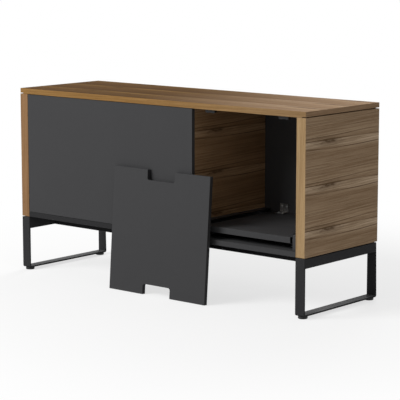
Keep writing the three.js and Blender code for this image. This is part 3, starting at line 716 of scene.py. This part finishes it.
# A screw's tip and washer, its head as (height, radius), and its cross recess, all as shares
TIP_RADIUS = 0.8
TIP_LENGTH = 0.3
WASHER_SHOULDER = 0.7
WASHER_TOP = 0.96
HEAD_PROFILE = ((0.0, 1.0), (0.45, 1.0), (0.76, 0.94), (0.94, 0.8), (1.0, 0.66))
RECESS_SHARE = 0.55
RECESS_DEPTH = 0.4
RECESS_FOOT = 0.66
ARM_WIDTH = 0.24
# Where screws sit on the nodes that carry them
BEAM_SCREW_SPAN = 1000 * MM
TUBE_WALL = 3 * MM
BRACKET_SHEET = 3 * MM
BRACKET_HOLE_OUT = 24 * MM
BRACKET_HOLE_PITCH = 22 * MM
SLIDE_SHEET = 1.2 * MM
SLIDE_HOLE_INSET = 35 * MM
HANDLE_BAR = 5 * MM
STOP_SCREW_PITCH = 26 * MM
# Weld beads: size, ripples, the taper towards both ends, and how far a ripple bows out and along
WELD_LEG = 3 * MM
WELD_ARC = 7
WELD_RIPPLE = 2.6 * MM
RIPPLE_STEPS = 4
RIPPLE_HEIGHT = 0.1
END_SIZE = 0.5
END_TAPER = 6
RIPPLE_BULGE = 0.14
RIPPLE_BOW = 0.6
BOW_TAPER = 8


def skin(name, rings):
    """A closed mesh over rings that have the same number of points."""
    count = len(rings[0])
    last = (len(rings) - 1) * count
    faces = [tuple(reversed(range(count))), tuple(range(last, last + count))]
    for low in range(0, last, count):
        for side in range(count):
            after = (side + 1) % count
            faces.append((low + side, low + after, low + count + after, low + count + side))
    mesh = bpy.data.meshes.new(name)
    mesh.from_pydata([point for ring in rings for point in ring], [], faces)
    mesh.shade_smooth()
    mesh.set_sharp_from_angle(angle=FACET_ANGLE)
    return mesh


def cross(height, radius, arm=ARM_WIDTH):
    """A ring in the shape of a cross with arms of a given width; a width of 1 gives a circle."""
    points = []
    for side in range(RING_SIDES):
        turn = math.tau * (side + 0.5) / RING_SIDES
        wide, tall = abs(math.cos(turn)), abs(math.sin(turn))
        reach = radius
        if arm < 1:
            reach *= max(min(1 / wide, arm / tall), min(arm / wide, 1 / tall))
        points.append((reach * math.cos(turn), reach * math.sin(turn), height))
    return points


def disc(height, radius):
    return cross(height, radius, 1.0)


def screw(name, head, height, shank, length, washer=0.0, lift=0.0):
    """A screw, in millimetres. Its head, or its washer of a given radius and lift, seats at 0."""
    rings = [disc(-length, TIP_RADIUS * shank)]
    rings += [disc(TIP_LENGTH * shank - length, shank), disc(0, shank)]
    if washer:
        rings += [disc(0, washer), disc(WASHER_SHOULDER * lift, washer)]
        rings += [disc(lift, WASHER_TOP * washer)]
    rings += [disc(lift + rise * height, reach * head) for rise, reach in HEAD_PROFILE]
    top = lift + height
    recess = RECESS_SHARE * head
    rings += [cross(top, recess), cross(top - RECESS_DEPTH * head, RECESS_FOOT * recess)]
    return skin(name, [[tuple(MM * part for part in point) for point in ring] for ring in rings])


def weld(name, start, end, first, second):
    """A rippled fillet bead from start to end, with a leg along each of two directions."""
    length = (end - start).length
    steps = round(length / WELD_RIPPLE) * RIPPLE_STEPS
    rings = []
    for step in range(steps + 1):
        share = step / steps
        swell = 1 + RIPPLE_HEIGHT * math.cos(math.tau * step / RIPPLE_STEPS)
        swell *= min(1.0, END_SIZE + END_TAPER * min(share, 1 - share))
        bow = min(1.0, BOW_TAPER * (1 - share))
        ring = [start.lerp(end, share)]
        for number in range(WELD_ARC):
            across = number / (WELD_ARC - 1)
            bulge = math.sin(math.pi * across)
            leg = first * (1 - across) + second * across
            lag = (end - start).normalized() * (WELD_RIPPLE * RIPPLE_BOW * bulge * bow)
            ring.append(ring[0] + leg * (WELD_LEG * swell * (1 + RIPPLE_BULGE * bulge)) + lag)
        rings.append(ring)
    return skin(name, rings)


def fit(name, mesh, slot, body, place=(0, 0, 0), way=(0, 0, 1)):
    """A fitting set at a point with its axis along a direction, riding on a body."""
    piece = bpy.data.objects.new(name, mesh)
    piece.location = place
    piece.rotation_euler = Vector((0, 0, 1)).rotation_difference(Vector(way)).to_euler()
    bpy.context.scene.collection.objects.link(piece)
    if not mesh.materials:
        mesh.materials.append(finishes[slot])
    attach(piece, body)


def middle(node):
    low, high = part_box(node)
    return (low + high) / 2


bracket_screw = screw("bracket_screw", head=4.0, height=2.5, shank=2.1, length=2.9)
handle_screw = screw("handle_screw", head=3.8, height=2.4, shank=1.9, length=0.4,
                     washer=5.0, lift=0.9)
stop_screw = screw("stop_screw", head=2.9, height=1.9, shank=1.4, length=0.4)
strike_screw = screw("strike_screw", head=3.4, height=0.5, shank=1.6, length=0.8)
beam_screw = screw("beam_screw", head=4.8, height=3.1, shank=2.5, length=2.9)
inner_slide_screw = screw("inner_slide_screw", head=3.7, height=2.0, shank=2.1, length=1.1)
outer_slide_screw = screw("outer_slide_screw", head=3.6, height=0.28, shank=2.1, length=1.1)
stop_screw.materials.append(dark_zinc)


def fit_tray_screws():
    for side in ("left", "right"):
        low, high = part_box(f"tray_bracket_{side}")
        for number, turn in enumerate((-1, 1), 1):
            x = (low.x + high.x + turn * BRACKET_HOLE_PITCH) / 2
            on_front = (x, low.y + BRACKET_SHEET, low.z + BRACKET_HOLE_OUT)
            on_tray = (x, low.y + BRACKET_HOLE_OUT, low.z + BRACKET_SHEET)
            name = f"bracket_screw_{side}_{{}}_{number}"
            fit(name.format("front"), bracket_screw, "zinc_steel", "tray", on_front, (0, 1, 0))
            fit(name.format("tray"), bracket_screw, "zinc_steel", "tray", on_tray)
    low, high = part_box("tray_handle")
    inner_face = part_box("tray_front")[1].y
    for side, x in (("left", low.x + HANDLE_BAR / 2), ("right", high.x - HANDLE_BAR / 2)):
        place = (x, inner_face, (low.z + high.z) / 2)
        fit(f"handle_screw_{side}", handle_screw, "zinc_steel", "tray", place, (0, 1, 0))


def fit_slide_screws():
    for side, off_wall in (("left", 1), ("right", -1)):
        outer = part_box(f"slide_outer_{side}")
        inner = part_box(f"slide_inner_{side}")
        centre = middle(f"slide_outer_{side}")
        reach = (outer[1].y - outer[0].y) / 2 - SLIDE_HOLE_INSET
        wall_face = outer[0].x if off_wall > 0 else outer[1].x
        tray_face = inner[1].x if off_wall > 0 else inner[0].x
        for number, step in enumerate((-1, 0, 1), 1):
            y = centre.y + step * reach
            on_outer = (wall_face + off_wall * SLIDE_SHEET, y, centre.z)
            on_inner = (tray_face - off_wall * SLIDE_SHEET, y, centre.z)
            fit(f"outer_slide_screw_{side}_{number}", outer_slide_screw, "zinc_steel", "carcass",
                on_outer, (off_wall, 0, 0))
            fit(f"inner_slide_screw_{side}_{number}", inner_slide_screw, "zinc_steel", "tray",
                on_inner, (-off_wall, 0, 0))


def fit_panel_screws():
    for side in ("left", "right"):
        low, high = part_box(f"panel_stop_{side}")
        for number, turn in enumerate((-1, 1), 1):
            x = (low.x + high.x + turn * STOP_SCREW_PITCH) / 2
            place = (x, (low.y + 3 * high.y) / 4, low.z)
            fit(f"stop_screw_{side}_{number}", stop_screw, "zinc_steel", "carcass", place,
                (0, 0, -1))
        strike = f"panel_strike_{side}"
        faces = nodes[strike].data.polygons
        way = min((face.normal.copy() for face in faces), key=lambda normal: normal.y)
        reach = max(way.dot(corner.co) for corner in nodes[strike].data.vertices)
        place = middle(strike)
        place += way * (reach - way.dot(place))
        fit(f"strike_screw_{side}", strike_screw, "zinc_steel", "lift_out_panel", place, way)


def fit_beam_screws():
    for end in ("front", "rear"):
        low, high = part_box(f"underframe_beam_{end}")
        for number, step in enumerate((-1, 0, 1), 1):
            place = (step * BEAM_SCREW_SPAN / 2, (low.y + high.y) / 2, high.z - TUBE_WALL)
            fit(f"beam_screw_{end}_{number}", beam_screw, "zinc_steel", "carcass", place,
                (0, 0, -1))


def fit_welds():
    """Beads where the rails meet the loops, and the beams the carrier plates."""
    for side, inward in (("left", 1), ("right", -1)):
        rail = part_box(f"leg_rail_{side}")
        for end, y, back in (("front", rail[0].y, 1), ("rear", rail[1].y, -1)):
            start = Vector((rail[0].x + WELD_LEG, y, rail[0].z))
            stop = Vector((rail[1].x - WELD_LEG, y, rail[0].z))
            legs = (Vector((0, back, 0)), Vector((0, 0, -1)))
            bead = weld(f"rail_weld_{side}_{end}", start, stop, *legs)
            fit(bead.name, bead, "black_steel", "carcass")
        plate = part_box(f"carrier_plate_{side}")
        face = plate[1].x if inward > 0 else plate[0].x
        for end in ("front", "rear"):
            low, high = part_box(f"underframe_beam_{end}")
            for edge, y, out in (("a", low.y, -1), ("b", high.y, 1)):
                start = Vector((face, y, low.z + WELD_LEG))
                stop = Vector((face, y, high.z - WELD_LEG))
                legs = (Vector((inward, 0, 0)), Vector((0, out, 0)))
                bead = weld(f"beam_weld_{side}_{end}_{edge}", start, stop, *legs)
                fit(bead.name, bead, "black_steel", "carcass")


fit_tray_screws()
fit_slide_screws()
fit_panel_screws()
fit_beam_screws()
fit_welds()

# Stage: floor, surround, lamps and camera


def seen_ray(tree):
    """1 for rays that show the stage itself: from the camera, in reflections and through glass."""
    path = tree.nodes.new("ShaderNodeLightPath")
    seen = path.outputs["Is Camera Ray"]
    for other in ("Is Glossy Ray", "Is Transmission Ray"):
        most = tree.nodes.new("ShaderNodeMath")
        most.operation = "MAXIMUM"
        tree.links.new(seen, most.inputs[0])
        tree.links.new(path.outputs[other], most.inputs[1])
        seen = most.outputs[0]
    return seen


def floor_material():
    """Matt and pale, and to the eye partly a plain white that takes over away from the middle."""
    material = bpy.data.materials.new("pale_floor")
    material.use_nodes = True
    tree = material.node_tree
    tree.nodes.clear()
    seen = seen_ray(tree)
    output = tree.nodes.new("ShaderNodeOutputMaterial")
    matt = tree.nodes.new("ShaderNodeBsdfDiffuse")
    shade = tree.nodes.new("ShaderNodeMapRange")
    shade.inputs["To Min"].default_value = FLOOR_BOUNCE
    shade.inputs["To Max"].default_value = FLOOR_SEEN
    tree.links.new(seen, shade.inputs["Value"])
    tree.links.new(shade.outputs["Result"], matt.inputs["Color"])
    white = tree.nodes.new("ShaderNodeEmission")
    point = tree.nodes.new("ShaderNodeTexCoord")
    away = tree.nodes.new("ShaderNodeVectorMath")
    away.operation = "LENGTH"
    tree.links.new(point.outputs["Object"], away.inputs[0])
    glow = tree.nodes.new("ShaderNodeMapRange")
    glow.interpolation_type = "SMOOTHSTEP"
    fade = {"From Min": FADE_START, "From Max": FADE_END, "To Min": FLOOR_GLOW, "To Max": 1.0}
    for socket, value in fade.items():
        glow.inputs[socket].default_value = value
    tree.links.new(away.outputs["Value"], glow.inputs["Value"])
    share = tree.nodes.new("ShaderNodeMath")
    share.operation = "MULTIPLY"
    tree.links.new(seen, share.inputs[0])
    tree.links.new(glow.outputs["Result"], share.inputs[1])
    both = tree.nodes.new("ShaderNodeMixShader")
    tree.links.new(share.outputs[0], both.inputs[0])
    tree.links.new(matt.outputs[0], both.inputs[1])
    tree.links.new(white.outputs[0], both.inputs[2])
    tree.links.new(both.outputs[0], output.inputs["Surface"])
    return material


def make_floor():
    mesh = bpy.data.meshes.new("floor")
    reach = FLOOR_REACH
    corners = [(-reach, -reach, 0), (reach, -reach, 0), (reach, reach, 0), (-reach, reach, 0)]
    mesh.from_pydata(corners, [], [(0, 1, 2, 3)])
    mesh.materials.append(floor_material())
    floor = bpy.data.objects.new("floor", mesh)
    bpy.context.scene.collection.objects.link(floor)


def make_surround():
    world = bpy.data.worlds.new("surround")
    world.use_nodes = True
    bpy.context.scene.world = world
    tree = world.node_tree
    background = tree.nodes["Background"]
    background.inputs["Color"].default_value = WHITE
    strength = tree.nodes.new("ShaderNodeMapRange")
    strength.inputs["To Min"].default_value = SURROUND_LIGHT
    strength.inputs["To Max"].default_value = 1.0
    tree.links.new(seen_ray(tree), strength.inputs["Value"])
    tree.links.new(strength.outputs["Result"], background.inputs["Strength"])


def make_lamp(name, place, size, power, in_gloss):
    data = bpy.data.lights.new(name, "AREA")
    data.shape = "DISK"
    data.size = size
    data.energy = power
    lamp = bpy.data.objects.new(name, data)
    lamp.location = place
    target = (cad_box[0] + cad_box[1]) / 2
    lamp.rotation_euler = (target - place).to_track_quat("-Z", "Y").to_euler()
    lamp.visible_glossy = in_gloss
    bpy.context.scene.collection.objects.link(lamp)


def make_camera():
    data = bpy.data.cameras.new("camera")
    data.lens = CAMERA_LENS
    data.sensor_width = CAMERA_SENSOR
    camera = bpy.data.objects.new("camera", data)
    camera.location = CAMERA_PLACE
    level = math.cos(CAMERA_PITCH)
    forward_x = math.sin(CAMERA_YAW) * level
    forward_y = -math.cos(CAMERA_YAW) * level
    forward = Vector((forward_x, forward_y, -math.sin(CAMERA_PITCH)))
    camera.rotation_euler = forward.to_track_quat("-Z", "Y").to_euler()
    bpy.context.scene.collection.objects.link(camera)
    bpy.context.scene.camera = camera


make_floor()
make_surround()
make_lamp("key", KEY_PLACE, KEY_SIZE, KEY_POWER, in_gloss=True)
make_lamp("fill", FILL_PLACE, FILL_SIZE, FILL_POWER, in_gloss=False)
make_camera()
bpy.context.scene.view_settings.view_transform = "Standard"
